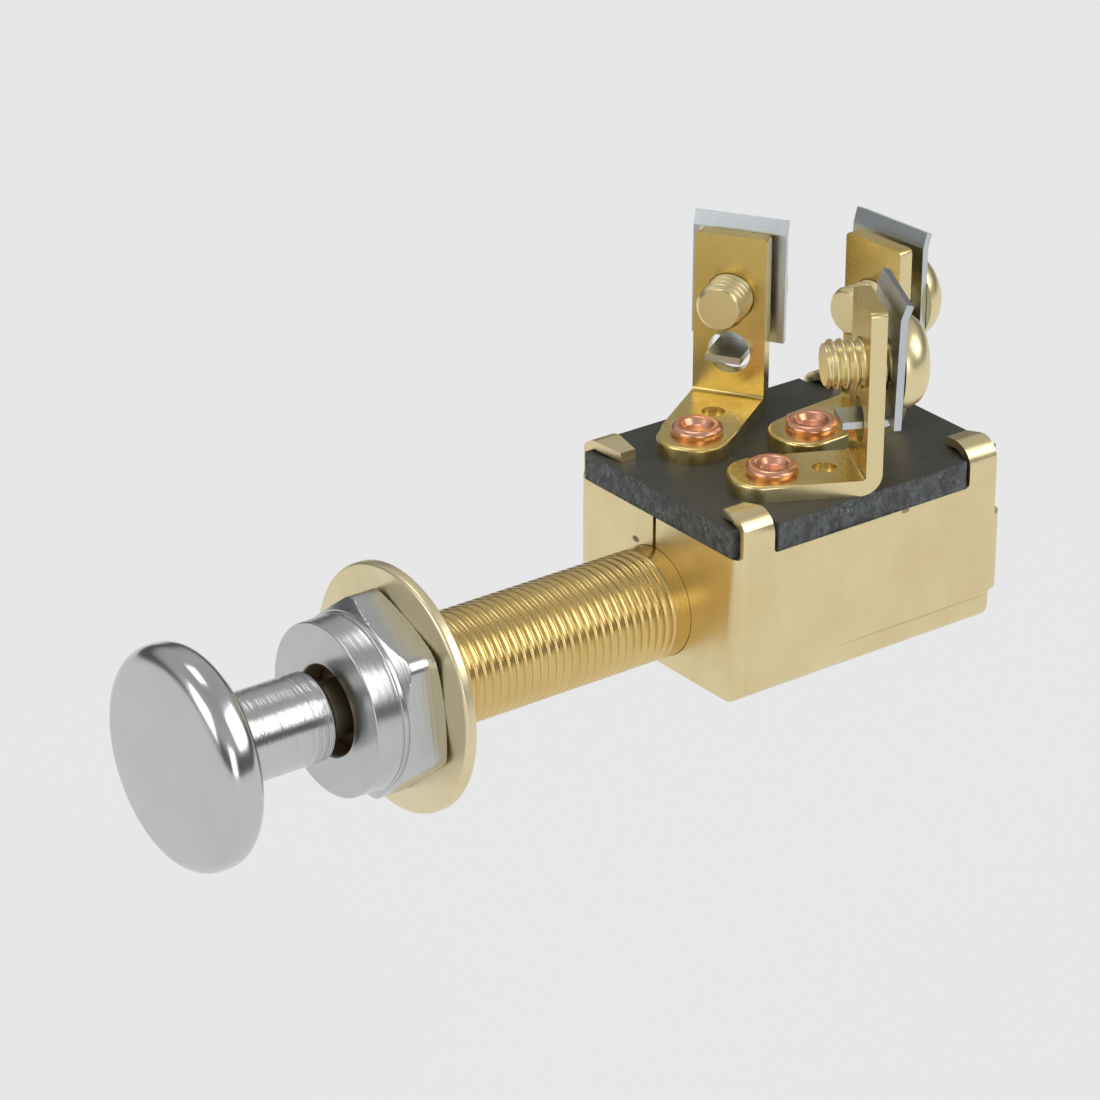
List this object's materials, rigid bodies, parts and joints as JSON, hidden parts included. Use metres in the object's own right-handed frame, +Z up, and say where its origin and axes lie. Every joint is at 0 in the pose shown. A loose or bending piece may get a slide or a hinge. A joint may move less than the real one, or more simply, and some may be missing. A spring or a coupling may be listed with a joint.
{
  "type": "push-pull panel switch",
  "caption": "Push-pull switch for a panel: mushroom knob on a plunger, threaded bushing with nut and washer, folded brass case, dark top board with upright screw terminals.",
  "frame": {"origin": "on the bushing's axis, at the outside of the case's front wall", "axes": "-Y out through the panel towards the knob, +Z up towards the terminals, +X to the right seen from the knob"},
  "size_m": [0.0285, 0.0775, 0.0376],
  "materials": {
    "knob_plate": "satin nickel plate over brass, rim polished",
    "nut_plate": "bright plate over brass",
    "case_brass": "satin brass sheet",
    "bushing_brass": "turned brass",
    "washer_brass": "satin punched brass",
    "terminal_brass": "satin brass strip",
    "screw_brass": "turned brass",
    "board_fibre": "hard dark fibre, cut edges rough",
    "eyelet_copper": "copper",
    "bridge_copper": "copper",
    "clamp_steel": "zinc-coated steel",
    "rod_steel": "drawn steel",
    "spring_steel": "spring steel",
    "carriage_moulding": "moulded insulating plastic"
  },
  "bodies": {
    "housing": {"case": "case_brass", "terminal_board": "board_fibre", "threaded_bushing": "bushing_brass", "terminal_left": "terminal_brass", "eyelet_left": "eyelet_copper", "terminal_right": "terminal_brass", "eyelet_right": "eyelet_copper", "terminal_rear": "terminal_brass", "eyelet_rear": "eyelet_copper"},
    "slide": {"carriage": "carriage_moulding", "contact_bridge": "bridge_copper", "contact_spring_left": "spring_steel", "contact_spring_right": "spring_steel", "detent_ball_left": "rod_steel", "detent_ball_right": "rod_steel"},
    "plunger": {"knob": "knob_plate", "plunger_rod": "rod_steel", "rod_clip": "spring_steel"},
    "washer": {"panel_washer": "washer_brass"},
    "nut": {"panel_nut": "nut_plate"},
    "clamp_left_set": {"clamp_left": "clamp_steel"},
    "screw_left_set": {"screw_left": "screw_brass"},
    "clamp_right_set": {"clamp_right": "clamp_steel"},
    "screw_right_set": {"screw_right": "screw_brass"},
    "clamp_rear_set": {"clamp_rear": "clamp_steel"},
    "screw_rear_set": {"screw_rear": "screw_brass"}
  },
  "joints": [
    {"name": "plunger_pull", "type": "slide", "parent": "housing", "child": "slide", "axis": [0, -1, 0], "range_m": [0, 0.009]},
    {"name": "knob_turn", "type": "hinge", "parent": "slide", "child": "plunger", "pos_m": [0, 0, 0], "axis": [0, -1, 0], "continuous": true},
    {"name": "nut_travel", "type": "slide", "parent": "housing", "child": "washer", "axis": [0, -1, 0], "range_m": [0, 0.004]},
    {"name": "nut_turn", "type": "hinge", "parent": "washer", "child": "nut", "pos_m": [0, 0, 0], "axis": [0, -1, 0], "range_deg": [0, 1815]},
    {"name": "clamp_left_travel", "type": "slide", "parent": "housing", "child": "clamp_left_set", "axis": [-0.5446, 0.8387, 0], "range_m": [-0.0009, 0.0015]},
    {"name": "screw_left_turn", "type": "hinge", "parent": "clamp_left_set", "child": "screw_left_set", "pos_m": [-0.00987, 0.01568, 0.0203], "axis": [-0.5446, 0.8387, 0], "range_deg": [-409, 681]},
    {"name": "clamp_right_travel", "type": "slide", "parent": "housing", "child": "clamp_right_set", "axis": [0.454, 0.891, 0], "range_m": [-0.00045, 0.0015]},
    {"name": "screw_right_turn", "type": "hinge", "parent": "clamp_right_set", "child": "screw_right_set", "pos_m": [0.00851, 0.01508, 0.02055], "axis": [0.454, 0.891, 0], "range_deg": [-205, 681]},
    {"name": "clamp_rear_travel", "type": "slide", "parent": "housing", "child": "clamp_rear_set", "axis": [-0.0785, 0.9969, 0], "range_m": [-0.0009, 0.0015]},
    {"name": "screw_rear_turn", "type": "hinge", "parent": "clamp_rear_set", "child": "screw_rear_set", "pos_m": [-0.00058, 0.02377, 0.0207], "axis": [-0.0785, 0.9969, 0], "range_deg": [-409, 681]}
  ],
  "couplings": [
    {"joint": "nut_turn", "follows": "nut_travel", "rad_per_m": 7915.8},
    {"joint": "screw_left_turn", "follows": "clamp_left_travel", "rad_per_m": 7915.8},
    {"joint": "screw_right_turn", "follows": "clamp_right_travel", "rad_per_m": 7915.8},
    {"joint": "screw_rear_turn", "follows": "clamp_rear_travel", "rad_per_m": 7915.8}
  ]
}
